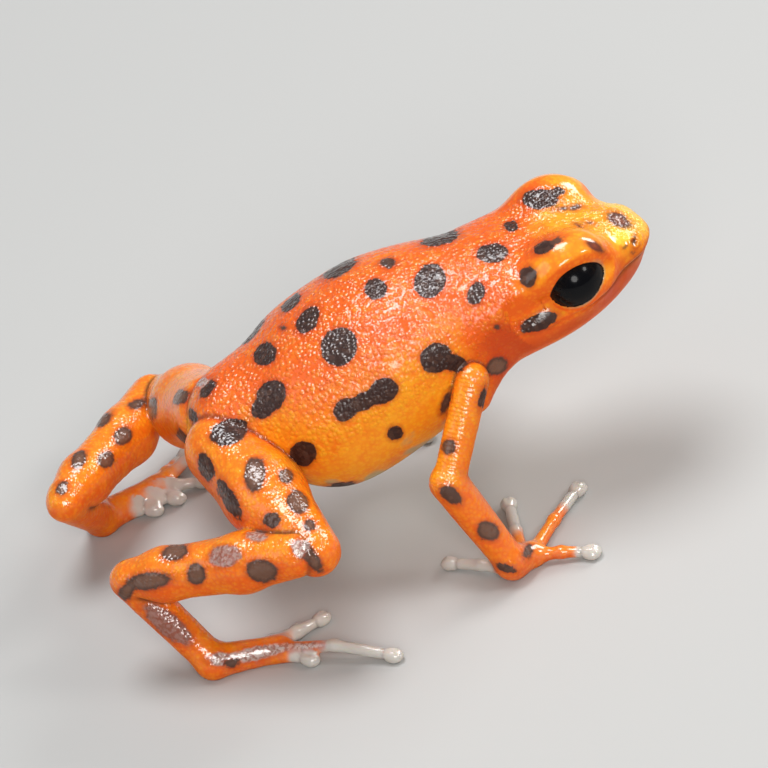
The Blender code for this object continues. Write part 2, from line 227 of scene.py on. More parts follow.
def rod(start, end, start_radius, end_radius, blend):
    """A round-ended rod whose radius changes evenly from start to end."""
    return Rod(place(start), place(end), start_radius, end_radius, blend)


def length_of(rows):
    """The length of each row."""
    return np.sqrt((rows**2).sum(axis=-1))


# Distance to a lump, negative inside it; points are a list of (x, y, z) rows


def egg_axes(lump):
    tilt, turn = math.radians(lump.tilt), math.radians(lump.turn)
    flat = math.cos(tilt)
    along = place((math.sin(turn) * flat, math.cos(turn) * flat, math.sin(tilt)))
    side = place((math.cos(turn), -math.sin(turn), 0.0))
    return np.array([side, along, np.cross(along, side)])


def egg_distance(lump, points):
    parts = (points - lump.centre) @ egg_axes(lump).T / lump.radii
    scaled = length_of(parts)
    steep = length_of(parts / lump.radii)
    return scaled * (scaled - 1.0) / np.maximum(steep, 1e-6)


def rod_distance(lump, points):
    length = lump.end - lump.start
    offset = points - lump.start
    share = np.clip(offset @ length / max(length @ length, 1e-9), 0.0, 1.0)
    away = length_of(offset - share[..., None] * length)
    return away - (lump.start_radius + share * (lump.end_radius - lump.start_radius))


def lump_distance(lump, points):
    return (egg_distance if isinstance(lump, Egg) else rod_distance)(lump, points)


def lump_box(lump):
    """Lowest and highest corners of a box around the lump."""
    if isinstance(lump, Egg):
        reach = float(max(lump.radii))
        return lump.centre - reach, lump.centre + reach
    reach = max(lump.start_radius, lump.end_radius)
    return np.minimum(lump.start, lump.end) - reach, np.maximum(lump.start, lump.end) + reach


def melt(first, second, blend):
    """The smaller of two distances, with a soft fillet of about the blend's size."""
    overlap = np.maximum(blend - np.abs(first - second), 0.0) / blend
    return np.minimum(first, second) - overlap**2 * blend / 4.0


def cut(first, second, blend):
    """The larger of two distances, with a soft edge."""
    return -melt(-first, -second, blend)


def fade(low, high, value):
    """0 at the low end and 1 at the high end, which may be the smaller number."""
    share = np.clip((value - low) / (high - low), 0.0, 1.0)
    return share * share * (3.0 - 2.0 * share)


def hump(value, width):
    """1 at zero, falling to nothing over about the width."""
    return np.exp(-((value / width) ** 2))


def distance_of(lumps, points):
    """The distance to the lumps melted together, each worked out only near itself."""
    field = np.full(len(points), FAR)
    for lump in lumps:
        low, high = lump_box(lump)
        reach = MARGIN + lump.blend
        near = ((points > low - reach) & (points < high + reach)).all(axis=1)
        field[near] = melt(field[near], lump_distance(lump, points[near]), lump.blend)
    return field


# Lumps of the body


def torso_lumps():
    lumps = [
        egg((0, 2.7, 7.65), (2.7, 2.6, 2.4), 1.0),
        egg((0, 6.5, 7.5), (4.8, 4.1, 4.0), 1.3, tilt=6),
        egg((0, 9.25, 8.55), (4.65, 4.45, 4.1), 1.3, tilt=14),
        egg((0, 12.3, 9.45), (3.65, 3.3, 2.95), 1.7, tilt=18),
        egg((0, 14.6, 9.75), (3.2, 3.0, 2.55), 1.3, tilt=6),
        egg((0, 17.1, 10.35), (3.35, 3.4, 2.0), 1.2),
        egg((0, 19.5, 10.42), (2.0, 2.38, 1.52), 1.0, tilt=-2.6),
        egg((0, 16.71, 9.13), (3.28, 4.06, 1.48), 1.0, tilt=12.4),
    ]
    for side in (-1, 1):
        lid = (side * (EYE_CENTRE[0] - LID_INWARD), EYE_CENTRE[1], EYE_CENTRE[2] + LID_RISE)
        lumps.append(rod((side * 2.3, 17.3, 10.8), (side * 2.0, 14.6, 10.4), 1.4, 1.3, 0.9))
        lumps.append(egg(lid, LID_RADII, 0.7))
        lumps.append(rod((side * 2.8, 13.6, 8.35), (side * 3.6, 12.3, 7.5), 0.65, 0.9, 0.9))
        lumps.append(rod((side * 1.75, 19.0, 10.87), (side * 1.05, 20.8, 10.58), 0.64, 0.48, 0.6))
    return lumps


def digit_lumps(root, tip, disc_width, knuckle_up):
    """A finger or toe: two rods over a knuckle, and a flat disc at its tip."""
    tip_point = tip + (DIGIT_UP,)
    knuckle = between(root, tip_point, 0.5)[:2] + (knuckle_up,)
    disc_radii = (disc_width / 2, DISC_HALF_LENGTH, DISC_HALF_THICKNESS)
    heading = math.degrees(math.atan2(tip[0] - root[0], tip[1] - root[1]))
    return [
        rod(root, knuckle, DIGIT_ROOT_RADIUS, DIGIT_RADIUS, DIGIT_WEB),
        rod(knuckle, tip_point, DIGIT_RADIUS, DIGIT_RADIUS, 0.2),
        egg(tip + (DISC_UP,), disc_radii, 0.28, turn=heading),
    ]


def digits(start, end, tips, table, pales):
    """The lumps of the digits rooted between start and end, and where each digit lies."""
    lumps, found = [], []
    for tip, (disc_width, share, knuckle_up), pale in zip(tips, table, pales):
        root = between(start, end, share)[:2] + (DIGIT_ROOT_UP,)
        lumps += digit_lumps(root, tip, disc_width, knuckle_up)
        start_point, end_point = place(root), place(tip + (DIGIT_UP,))
        ahead = end_point - start_point
        found.append(Digit(start_point, end_point, ahead / np.linalg.norm(ahead), pale))
    return lumps, found


def lapped(start, end, share, reach):
    """A point at a share of the way from start to end, moved outwards and up."""
    side, ahead, up = between(start, end, share)
    side += math.copysign(LAP_OUTWARDS * reach, side)
    return (side, ahead, up + LAP_UPWARDS * reach)


def arm_lumps(side):
    arm = ARMS[side]
    top = lapped(arm.shoulder, arm.elbow, *SHOULDER)
    fingers, found = digits(arm.wrist, arm.palm, FINGER_TIPS[side], FINGERS, FINGER_PALE)
    lumps = [
        rod(top, arm.elbow, UPPER_ARM_RADIUS, ELBOW_RADIUS, 0.6),
        rod(arm.elbow, arm.wrist, FOREARM_RADIUS, WRIST_RADIUS, 0.2),
        rod(arm.wrist, arm.palm, WRIST_RADIUS, PALM_RADIUS, 0.4),
    ]
    return lumps + fingers, found


def leg_lumps(side):
    leg = LEGS[side]
    middle = between(leg.hip, leg.knee, 0.45)
    shin, calf, ankle, heel = (
        lapped(leg.knee, leg.heel, *at) for at in (SHIN, CALF, ANKLE, HEEL)
    )
    toes, found = digits(leg.ball, leg.instep, TOE_TIPS[side], TOES, TOE_PALE)
    lumps = [
        rod(leg.hip, middle, THIGH_RADIUS, THIGH_RADIUS, 0.7),
        rod(middle, leg.knee, THIGH_RADIUS, KNEE_RADIUS, 0.7),
        rod(shin, calf, SHIN_RADIUS, CALF_RADIUS, 0.06),
        rod(calf, ankle, CALF_RADIUS, ANKLE_RADIUS, 0.5),
        rod(ankle, heel, ANKLE_RADIUS, HEEL_RADIUS, 0.5),
        rod(leg.heel, leg.ball, TARSUS_RADIUS, BALL_RADIUS, 0.10),
        rod(leg.ball, leg.instep, BALL_RADIUS, INSTEP_RADIUS, 0.4),
    ]
    return lumps + toes, found


# The lumps of the trunk and head and of each limb, where the digits lie, and the pairs of
# parts that meet in a fold; a limb bends at the lumps whose numbers are given
TORSO = torso_lumps()
LIMBS = []
DIGITS = []
FOLDING = []
for limb_side in ("right", "left"):
    for limb_lumps, bends in ((arm_lumps, (0, 1, 2)), (leg_lumps, (0, 2, 5, 6))):
        made_lumps, made_digits = limb_lumps(limb_side)
        LIMBS.append(made_lumps)
        DIGITS += made_digits
        parts = [made_lumps[start:end] for start, end in zip(bends, bends[1:])]
        FOLDING += [(TORSO, made_lumps)] + list(zip(parts, parts[1:]))


# Details of the head and the digits


def eye_frame(side):
    """The eye's centre and its outward, forward and upward directions."""
    centre = place((side * EYE_CENTRE[0], EYE_CENTRE[1], EYE_CENTRE[2]))
    turn, lift = math.radians(EYE_TURN), math.radians(EYE_LIFT)
    flat = math.cos(lift)
    outward = place((side * flat * math.cos(turn), flat * math.sin(turn), math.sin(lift)))
    level = np.cross((0.0, 0.0, 1.0), outward)
    level *= -side / np.linalg.norm(level)
    upward = np.cross(outward, level) * -side
    slant = math.radians(LID_SLANT)
    forward = level * math.cos(slant) + upward * math.sin(slant)
    upward = upward * math.cos(slant) - level * math.sin(slant)
    return centre, outward, forward, upward


EYES = {side: eye_frame(side) for side in (-1, 1)}


def lid_outline():
    """The closed edge of the lids: a smooth curve through its corners."""
    here = np.array(LID_CORNERS)
    before, ahead, later = (np.roll(here, shift, axis=0) for shift in (1, -1, -2))
    rows = []
    for share in np.arange(LID_STEPS) / LID_STEPS:
        straight = 2 * here + (ahead - before) * share
        square = (2 * before - 5 * here + 4 * ahead - later) * share**2
        cube = (3 * here - before - 3 * ahead + later) * share**3
        rows.append((straight + square + cube) / 2)
    return np.stack(rows, axis=1).reshape(-1, 2)


LID_OUTLINE = lid_outline()


def past_lid(side, points):
    """How far each point lies outside the opening between the lids, measured over the
    eyeball, its distance from the eye's centre, its angle from the outward side, and how
    far up it lies over the eyeball."""
    centre, outward, forward, upward = EYES[side]
    offset = points - centre
    away = length_of(offset)
    depth = offset @ outward
    outside = np.full(len(points), FAR)
    turn = np.full(len(points), math.pi)
    rise = np.zeros(len(points))
    near = (away < LID_REACH) & (depth > -0.6)
    offset, depth = offset[near], depth[near]
    across = np.stack([offset @ forward, offset @ upward], axis=1)
    spread = np.maximum(length_of(across), 1e-6)
    turn[near] = np.arctan2(spread, depth)
    flat = across * (EYE_RADIUS * turn[near] / spread)[:, None]
    rise[near] = flat[:, 1]
    nearest = np.full(len(flat), FAR)
    inside = np.zeros(len(flat), bool)
    for start, end in zip(LID_OUTLINE, np.roll(LID_OUTLINE, -1, axis=0)):
        edge = end - start
        gap = flat - start
        share = np.clip(gap @ edge / (edge @ edge), 0.0, 1.0)
        nearest = np.minimum(nearest, length_of(gap - share[:, None] * edge))
        if edge[1] != 0.0:
            crossed = (gap[:, 1] < 0) != (flat[:, 1] < end[1])
            inside ^= crossed & (gap[:, 0] < gap[:, 1] * edge[0] / edge[1])
    outside[near] = np.where(inside, -nearest, nearest)
    return outside, away, turn, rise


def beyond_lids(points):
    """How far each point lies outside the nearer eye's opening."""
    return np.minimum(*(past_lid(side, points)[0] for side in EYES))


def lids(field, points):
    """Wraps the eyeball in a thin skin, and draws the head down to it at the opening."""
    for side in EYES:
        outside, away, turn, rise = past_lid(side, points)
        rim = fade(-0.05, 0.0, outside)
        beyond = np.maximum(outside, 0.0)
        thick = LID_THICKNESS * rim - LID_DIP * (1.0 - rim)
        thick += LID_SLOPE * beyond + LID_CURVE * beyond**2
        lip = 1.0 - np.maximum(1.0 - beyond / LID_LIP_REACH, 0.0) ** 2
        thick += LID_LIP * lip * fade(-0.1, 0.35, rise)
        loose = fade(0.1, 0.6, outside)
        thick += LID_FREE * loose * np.maximum(turn - LID_FREE_TURN, 0.0) ** 2
        limit = away - (EYE_RADIUS + thick)
        wrapped = melt(field, away - (EYE_RADIUS + LID_THICKNESS), LID_BLEND)
        soft = LID_BLEND + LID_BLEND_AWAY * fade(0.10, 0.6, outside)
        field = np.where(outside < FAR / 2, cut(wrapped, limit, soft), field)
    return field


def mouth_height(ahead):
    return MOUTH_UP - MOUTH_DROP * np.maximum(MOUTH_LEVEL_AHEAD - ahead, 0.0) ** 2


def mouth(field, points):
    """A groove round the snout, and a lower jaw that stands a little inside it."""
    ahead, up = -points[:, 1], points[:, 2]
    over = up - mouth_height(ahead)
    reach = fade(MOUTH_CORNER_AHEAD - 0.5, MOUTH_CORNER_AHEAD + 0.7, ahead)
    groove = MOUTH_DEPTH * hump(over, MOUTH_HALF_WIDTH)
    inset = JAW_INSET + JAW_FRONT_INSET * fade(19.8, 21.2, ahead)
    inset *= fade(0.05, -0.1, over) * fade(-1.2, -0.4, over)
    lip = 0.03 * hump(over - 0.2, 0.13)
    return field + reach * (groove + inset - lip)


NOSTRILS = [place((side * 1.46, 21.05, 11.03)) for side in (-1, 1)]
NOSTRIL_RADIUS = 0.10
VENT = place((0.0, 0.25, 7.3))
EARDRUMS = [place((side * 3.62, 15.75, 10.15)) for side in (-1, 1)]
EARDRUM_RADIUS = 0.42


def openings(field, points):
    """Pits of the nostrils, the rings of the eardrums and the pucker of the vent."""
    for nostril in NOSTRILS:
        away = length_of(points - nostril)
        field = field + 0.16 * hump(away, NOSTRIL_RADIUS * 1.1)
        field = field - 0.035 * hump(away - 2.2 * NOSTRIL_RADIUS, NOSTRIL_RADIUS)
    for eardrum in EARDRUMS:
        away = length_of(points - eardrum)
        field = field - 0.02 * hump(away - EARDRUM_RADIUS, 0.10)
        field = field + 0.02 * fade(EARDRUM_RADIUS, 0.6 * EARDRUM_RADIUS, away)
    away = length_of(points - VENT)
    return field - 0.20 * hump(away - 0.35, 0.22) + 0.25 * hump(away, 0.15)


def along_digits(points):
    """For each point: how far it lies behind its digit's tip, how far to the digit's
    side, how far it is from the digit's middle line (half as strict upwards, for the
    raised knuckles), and its place along the digit's pale part, from 0 at the tip to 1."""
    behind = np.full(len(points), FAR)
    faded = np.full(len(points), FAR)
    aside = np.zeros(len(points))
    nearest = np.full(len(points), FAR)
    for digit in DIGITS:
        offset = points - digit.tip
        run = -(offset @ digit.heading)
        length = np.linalg.norm(digit.tip - digit.root)
        across = np.cross(digit.heading, (0.0, 0.0, 1.0))
        closest = offset + np.clip(run, 0.0, length)[:, None] * digit.heading
        closest[:, 2] *= 0.5
        away = length_of(closest)
        mine = away < nearest
        nearest = np.where(mine, away, nearest)
        behind = np.where(mine, run, behind)
        faded = np.where(mine, run / digit.pale, faded)
        aside = np.where(mine, offset @ across, aside)
    return behind, aside, nearest, faded


def digit_details(field, points):
    """Twin scutes on each disc, a ring groove behind it, and knuckle pads."""
    low = points[:, 2] < 1.0
    behind, aside, away, _ = along_digits(points[low])
    on_digit = fade(0.75, 0.55, away)
    top = fade(0.25, 0.40, points[low][:, 2])
    ring = 0.045 * hump(behind - 0.47, 0.07)
    parting = 0.05 * hump(aside, 0.05) * top * fade(0.25, 0.05, behind)
    scutes = 0.03 * hump(np.abs(aside) - 0.17, 0.10) * hump(behind - 0.05, 0.22) * top
    knuckles = 0.015 * (hump(behind - 1.35, 0.22) + hump(behind - 2.5, 0.26))
    changed = field.copy()
    changed[low] += on_digit * (ring + parting - scutes - knuckles)
    return changed


def skin_distance(points, plain=False):
    """The distance to the finished skin without its granules, or to the plain body."""
    field = distance_of(TORSO, points)
    if not plain:
        field = openings(mouth(lids(field, points), points), points)
    for lumps in LIMBS:
        field = melt(field, distance_of(lumps, points), LIMB_BLEND)
    if not plain:
        field = digit_details(field, points)
    return np.maximum(field, -points[:, 2])


def slope_of(distance, points, step=0.01):
    """A distance at each point, and the direction and rate in which it grows."""
    here = distance(points)
    slope = np.empty_like(points)
    for axis in range(3):
        moved = points.copy()
        moved[:, axis] += step
        slope[:, axis] = (distance(moved) - here) / step
    return here, slope


def settle(points, rounds=3):
    """Moves the points onto the skin."""
    for _ in range(rounds):
        here, slope = slope_of(skin_distance, points)
        squared = np.maximum((slope**2).sum(axis=1), GENTLEST_SLOPE)
        move = np.clip(here / squared, -LONGEST_STEP, LONGEST_STEP)
        points = points - move[:, None] * slope
    return points


# The skin's mesh


def net_surface(field, axes):
    """Points and four-sided faces where the field is zero: one point in each cell that
    the surface passes through, and one face around each grid edge that it crosses."""
    inside = field < 0
    cells = np.array(field.shape) - 1
    strides = np.array([cells[1] * cells[2], cells[2], 1])
    owners, spots, flips = [], [], []
    for axis in range(3):
        near, far = [slice(None)] * 3, [slice(None)] * 3
        near[axis], far[axis] = slice(None, -1), slice(1, None)
        near, far = tuple(near), tuple(far)
        edges = np.argwhere(inside[near] != inside[far])
        start = field[near][tuple(edges.T)]
        end = field[far][tuple(edges.T)]
        spot = np.stack([axes[k][edges[:, k]] for k in range(3)], axis=1)
        step = axes[axis][edges[:, axis] + 1] - axes[axis][edges[:, axis]]
        spot[:, axis] += step * start / (start - end)
        second, third = (axis + 1) % 3, (axis + 2) % 3
        around = []
        for down_second, down_third in ((1, 1), (0, 1), (0, 0), (1, 0)):
            cell = edges.copy()
            cell[:, second] -= down_second
            cell[:, third] -= down_third
            around.append(cell @ strides)
        owners.append(np.stack(around, axis=1))
        spots.append(spot)
        flips.append(start > 0)
    owners, spots, flips = map(np.concatenate, (owners, spots, flips))
    used, faces = np.unique(owners, return_inverse=True)
    faces = faces.reshape(-1, 4)
    count = np.bincount(faces.ravel(), minlength=len(used))
    sums = [np.bincount(faces.ravel(), np.repeat(spots[:, k], 4), len(used)) for k in range(3)]
    points = np.stack(sums, axis=1) / count[:, None]
    faces[flips] = faces[flips][:, ::-1]
    return points, faces


def folds(points):
    """How much each point lies in a fold where two parts of the body meet at an angle."""
    deep = np.zeros(len(points))
    for pair in FOLDING:
        near = np.all([np.abs(distance_of(part, points)) < FOLD_REACH for part in pair], axis=0)
        if not near.any():
            continue
        slopes = [slope_of(partial(distance_of, part), points[near]) for part in pair]
        (one, one_way), (two, two_way) = slopes
        sizes = np.maximum(length_of(one_way) * length_of(two_way), 1e-9)
        apart = fade(0.08, 0.45, 1.0 - (one_way * two_way).sum(axis=1) / sizes)
        depth = apart * hump(one, FOLD_HALF_WIDTH) * hump(two, FOLD_HALF_WIDTH)
        deep[near] = np.maximum(deep[near], depth)
    return deep


def wanted_edge(points):
    """The edge length that each place of the skin needs."""
    ahead, up = -points[:, 1], points[:, 2]
    torso = distance_of(TORSO, points) < 0.25
    length = np.full(len(points), CELL)
    back = torso & (up > 7.0 + 0.12 * np.abs(points[:, 0])) & (ahead > 0.5)
    head = torso & (ahead > 15.0)
    length[back | head] = FINE
    _, _, away, _ = along_digits(points)
    length[(away < 0.6) & (up < 1.0)] = FINE
    for side in EYES:
        length[np.abs(past_lid(side, points)[0]) < 0.2] = LID_FINE
    for nostril in NOSTRILS:
        away = length_of(points - nostril)
        length[away < 3.2 * NOSTRIL_RADIUS] = LID_FINE
    length[(folds(points) > 0.15) & (length > FOLD_FINE)] = FOLD_FINE
    return length


def vertex_points(mesh):
    return np.array([vertex.co for vertex in mesh.verts])


def corners(pieces):
    """The vertex numbers of each edge or face."""
    return [[vertex.index for vertex in piece.verts] for piece in pieces]


def refine(mesh):
    """Splits the edges that are too long for their place, once."""
    mesh.edges.ensure_lookup_table()
    mesh.verts.index_update()
    points = vertex_points(mesh)
    ends = np.array(corners(mesh.edges))
    middles = points[ends].mean(axis=1)
    lengths = np.linalg.norm(points[ends[:, 0]] - points[ends[:, 1]], axis=1)
    long_ones = np.flatnonzero(lengths > TOO_LONG * wanted_edge(middles))
    edges = [mesh.edges[index] for index in long_ones]
    bmesh.ops.subdivide_edges(mesh, edges=edges, cuts=1, use_grid_fill=True)


def relax(points, ends, share=0.5):
    """Draws each point towards the middle of its neighbours."""
    total = np.zeros_like(points)
    count = np.zeros(len(points))
    for start, end in ((0, 1), (1, 0)):
        np.add.at(total, ends[:, start], points[ends[:, end]])
        np.add.at(count, ends[:, start], 1)
    return points + share * (total / count[:, None] - points)


def first_net():
    """Evenly spaced points and faces on the plain body."""
    lumps = TORSO + [lump for limb in LIMBS for lump in limb]
    low = np.min([lump_box(lump)[0] for lump in lumps], axis=0) - 3 * CELL
    high = np.max([lump_box(lump)[1] for lump in lumps], axis=0) + 3 * CELL
    axes = [np.arange(low[axis], high[axis] + CELL, CELL) for axis in range(3)]
    grid = np.stack(np.meshgrid(*axes, indexing="ij"), axis=-1)
    field = skin_distance(grid.reshape(-1, 3), plain=True)
    return net_surface(field.reshape(grid.shape[:3]), axes)


def skin_mesh():
    """The skin as points and faces, in the frog's own axes and millimetres."""
    points, faces = first_net()
    made = bpy.data.meshes.new("net")
    made.from_pydata(settle(points).tolist(), [], faces.tolist())
    mesh = bmesh.new()
    mesh.from_mesh(made)
    bpy.data.meshes.remove(made)
    for _ in range(2):
        refine(mesh)
        for vertex, point in zip(mesh.verts, settle(vertex_points(mesh)).tolist()):
            vertex.co = point
    mesh.verts.index_update()
    ends = np.array(corners(mesh.edges))
    faces = corners(mesh.faces)
    points = vertex_points(mesh)
    mesh.free()
    for _ in range(2):
        points = settle(relax(points, ends), rounds=1)
    return settle(points, rounds=2), faces


# Regions, each a share from 0 to 1 at every point


def granules(points, spacing):
    """The height of round grains, each in its own cell of a jittered grid."""
    scaled = points / spacing
    home = np.floor(scaled).astype(int)
    nearest = np.full(len(points), 9.0)
    for shift in np.ndindex(3, 3, 3):
        cell = home + np.array(shift) - 1
        mixed = cell @ GRANULE_HASH
        jitter = 0.5 + 0.5 * np.sin(mixed[:, None] * GRANULE_JITTER)
        nearest = np.minimum(nearest, ((cell + jitter - scaled) ** 2).sum(axis=1))
    return 1.0 - np.clip(np.sqrt(nearest) / 0.85, 0.0, 1.0) ** 2


def along_arms(points):
    """How far along an upper arm each point lies, and how much it is on that arm."""
    run, share = np.zeros(len(points)), np.zeros(len(points))
    for arm in ARMS.values():
        start, end = place(arm.shoulder), place(arm.elbow)
        length = np.linalg.norm(end - start)
        here = (points - start) @ (end - start) / length
        away = rod_distance(rod(arm.shoulder, arm.elbow, 0.0, 0.0, 0.0), points)
        mine = fade(1.4, 1.1, away) * fade(0.3, 0.9, here)
        mine *= fade(length + 0.5, length, here)
        run = np.where(mine > share, here, run)
        share = np.maximum(share, mine)
    return run, share


def soft_noise(points, spacing, seed):
    """A slow wave pattern between about -1 and 1."""
    wander = np.random.default_rng(seed)
    total = np.zeros(len(points))
    for _ in range(7):
        direction = wander.normal(size=3)
        direction *= 2 * math.pi / spacing / np.linalg.norm(direction)
        total += np.sin(points @ direction + wander.uniform(0, 2 * math.pi))
    return total / 3.0


# Places where the muzzle is yellow
MUZZLE_YELLOWS = ((-1.25, 20.4, 11.15), (1.25, 20.4, 11.15), (0.0, 21.3, 10.7))
Where = namedtuple(
    "Where", "points side ahead up facing on_torso head limb past behind faded on_digit"
)


def look_about(points, normals):
    """Where each point lies on the body; facing is how much it faces upwards, and past
    how far it lies outside the nearer lids."""
    side, ahead, up = np.abs(points[:, 0]), -points[:, 1], points[:, 2]
    on_torso = fade(0.35, 0.05, distance_of(TORSO, points))
    head = on_torso * fade(14.6, 16.4, ahead)
    behind, _, from_digit, faded = along_digits(points)
    on_digit = fade(0.60, 0.45, from_digit) * (up < 1.1)
    past = beyond_lids(points)
    limb = 1.0 - on_torso
    return Where(
        points, side, ahead, up, normals[:, 2], on_torso, head, limb, past, behind, faded, on_digit
    )


def grain_share(at):
    """How granular the skin is: most on the back, least on the lids, jaw and digits."""
    smooth = np.maximum(0.3 * fade(19.3, 20.8, at.ahead), fade(1.6, 1.1, at.past))
    smooth = at.head * np.maximum(smooth, fade(10.4, 9.8, at.up))
    grain = at.on_torso * (0.35 + 0.65 * fade(-0.25, 0.35, at.facing))
    grain *= (1.0 - 0.85 * smooth) * fade(0.02, 0.25, at.past)
    on_limb = at.limb * (0.40 + 0.10 * fade(1.0, 2.0, at.up)) * (1.0 - 0.6 * at.on_digit)
    return np.maximum(grain, on_limb)


def yellow_share(at):
    """How yellow the orange is: most on the muzzle, crown and lids, then on the flanks; on the
    limbs it is also painted light, yellower where they face up.
    """
    crown = fade(0.2, 0.75, at.facing) * fade(17.0, 19.5, at.ahead)
    bridge = fade(1.9, 0.6, at.side) * fade(10.9, 11.6, at.up)
    bridge *= fade(16.0, 18.5, at.ahead)
    dome = fade(1.5, 0.7, at.past) * fade(-0.1, 0.5, at.facing)
    dome *= fade(1.9, 2.8, at.side)
    muzzle = sum(hump(length_of(at.points - place(middle)), 1.1) for middle in MUZZLE_YELLOWS)
    muzzle = 1.2 * np.minimum(muzzle, 1.0)
    on_head = at.head * np.maximum.reduce([0.9 * crown, 0.9 * bridge, 0.62 * dome, muzzle])
    flank = at.on_torso * fade(13.6, 11.4, at.ahead) * fade(0.85, 0.25, at.facing)
    upper_arm = fade(6.5, 7.5, at.ahead) * fade(3.5, 6.5, at.up)
    # painted light: the limbs turn yellower where they face upwards
    lit = 0.26 + 0.28 * fade(0.0, 0.9, at.facing) + 0.16 * upper_arm
    return np.maximum.reduce([on_head, 0.16 + 0.55 * flank, at.limb * lit])


def painted_shade_share(at):
    """Painted shade: how deep red the skin is made below and behind the eye, where the head faces
    sideways and down.
    """
    red = at.on_torso * fade(12.2, 14.0, at.ahead) * fade(0.55, 0.0, at.facing)
    return red * fade(0.3, 1.0, at.past) * fade(-0.75, -0.3, at.facing)


def pale_share(at):
    """How pale the skin is, on the belly, throat and digits."""
    belly = fade(-0.45, -0.85, at.facing + 0.15 * soft_noise(at.points, 1.6, 5))
    belly *= at.on_torso * (1.0 - at.head)
    throat = 0.5 * at.head * fade(-0.6, -0.95, at.facing)
    faded = at.faded + 0.08 * soft_noise(at.points, 1.5, 8)
    foot = 0.14 * at.limb * fade(1.9, 1.0, at.up)
    return np.maximum.reduce([belly, throat, at.on_digit * fade(1.3, 0.6, faded), foot])


def crease_shade_share(at, fold):
    """Painted shade: how dark the mouth line, nostrils, disc rings and folds are made."""
    # painted shade just below the upper lip, where it overhangs the jaw
    mouth_shade = at.head * hump(at.up - mouth_height(at.ahead) + 0.05, 0.17)
    mouth_shade *= fade(17.2, 20.2, at.ahead)
    # painted shade in the nostrils' pits and in the groove behind each disc
    nostril = sum(hump(length_of(at.points - hole), 1.2 * NOSTRIL_RADIUS) for hole in NOSTRILS)
    ring = at.on_digit * hump(at.behind - 0.47, 0.05)
    return np.clip(0.62 * mouth_shade + nostril + 0.35 * ring + 0.9 * fold, 0.0, 1.0)


def rim_share(at):
    """The pale edge of the lower and front lid."""
    centre, _, forward, upward = EYES[1]
    offset = np.stack([at.side, -at.ahead, at.up], axis=1) - centre
    low_front = fade(-0.2, 0.7, offset @ (0.6 * forward - upward))
    return at.head * fade(0.10, 0.04, at.past) * low_front


def regions(points, normals):
    """The shares that the material reads, by name, and how deep each point is in a fold."""
    at = look_about(points, normals)
    fold = folds(points)
    run, wrinkle = along_arms(points)
    damp = 0.08 + 0.92 * fade(0.0, 0.55, at.facing - 0.2 * at.on_torso)
    shown = {
        "grain": grain_share(at),
        "yellow": yellow_share(at),
        # red: painted shade below and behind the eye
        "red": painted_shade_share(at),
        "pale": pale_share(at),
        # dark: painted shade in the mouth line, nostrils, disc rings and folds
        "dark": crease_shade_share(at, fold),
        "rim": rim_share(at),
        "lid": np.clip(at.past, -0.3, 0.3),
        "wet": damp * fade(-0.02, 0.04, at.past),
        "run": run,
        "wrinkle": wrinkle * at.limb,
    }
    return shown, fold


# The photo's camera


def camera_axes():
    """Unit vectors of the camera's right, up and back directions."""
    azimuth, elevation, roll = map(math.radians, (CAMERA_AZIMUTH, CAMERA_ELEVATION, CAMERA_ROLL))
    flat = math.cos(elevation)
    back = np.array([math.sin(azimuth) * flat, -math.cos(azimuth) * flat, math.sin(elevation)])
    level = np.array([math.cos(azimuth), math.sin(azimuth), 0.0])
    rise = np.cross(back, level)
    right = level * math.cos(roll) - rise * math.sin(roll)
    up = level * math.sin(roll) + rise * math.cos(roll)
    return right, up, back


RIGHT, UP, BACK = camera_axes()
CAMERA_AT = place(LOOKS_AT) + BACK * CAMERA_DISTANCE


def photo_ray(pixel):
    """The direction in which the camera sees a pixel of the photo."""
    right, down = ((value - PHOTO_PIXELS / 2) / PHOTO_SCALE for value in pixel)
    toward = place(LOOKS_AT) + RIGHT * right - UP * down - CAMERA_AT
    return toward / np.linalg.norm(toward)


# Spots that the photo shows: the pixel at the middle, across and down; length and width in
# pixels; the lean of the length from level, in degrees (positive turns its right end up);
# and the tone, from 0 for black-brown to 1 for brown, 2 for red-brown and 3 for grey-brown,
# whose grey on the tops of the limbs and feet is partly painted sheen
BODY_SPOTS = (
    (540, 199, 37, 20, 3, 0), (557, 192, 16, 9, 15, 0), (511, 226, 14, 12, 0, 0),
    (492, 253, 31, 20, 5, 0), (544, 247, 22, 12, 20, 0), (556, 241, 14, 6, 24, 0.6),
    (528, 277, 20, 17, 90, 0.3), (539, 322, 38, 17, 20, 0.2), (476, 293, 23, 17, 70, 0),
    (376, 289, 23, 21, 0, 0), (388, 263, 16, 10, 5, 0.4), (430, 281, 36, 30, 62, 0),
    (440, 238, 39, 15, 15, 0), (339, 268, 38, 15, 28, 0), (308, 320, 31, 19, 55, 0),
    (291, 302, 24, 15, 54, 0), (265, 354, 25, 21, 38, 0), (339, 347, 40, 35, 65, 0),
    (271, 396, 34, 28, 55, 0), (263, 408, 24, 20, 40, 0), (345, 410, 24, 21, 40, 0),
    (364, 401, 28, 18, 28, 0), (383, 391, 31, 25, 28, 0), (436, 358, 32, 29, 30, 0),
    (453, 363, 26, 17, -16, 0), (461, 363, 12, 8, -10, 0.1), (229, 432, 40, 25, 20, 0),
    (208, 389, 22, 10, 52, 0.1), (192, 415, 18, 9, -62, 0.1), (303, 454, 27, 25, 20, 0),
    (395, 433, 15, 14, 20, 0), (342, 486, 28, 8, 8, 0.2), (253, 332, 32, 9, 48, 0.1),
    # the last, (497, 366), is a brown patch of painted shade in the armpit beside the upper arm
    (283, 328, 6, 5, 0, 1), (497, 327, 5, 4, 0, 0.8), (497, 366, 24, 17, 32, 1),
)
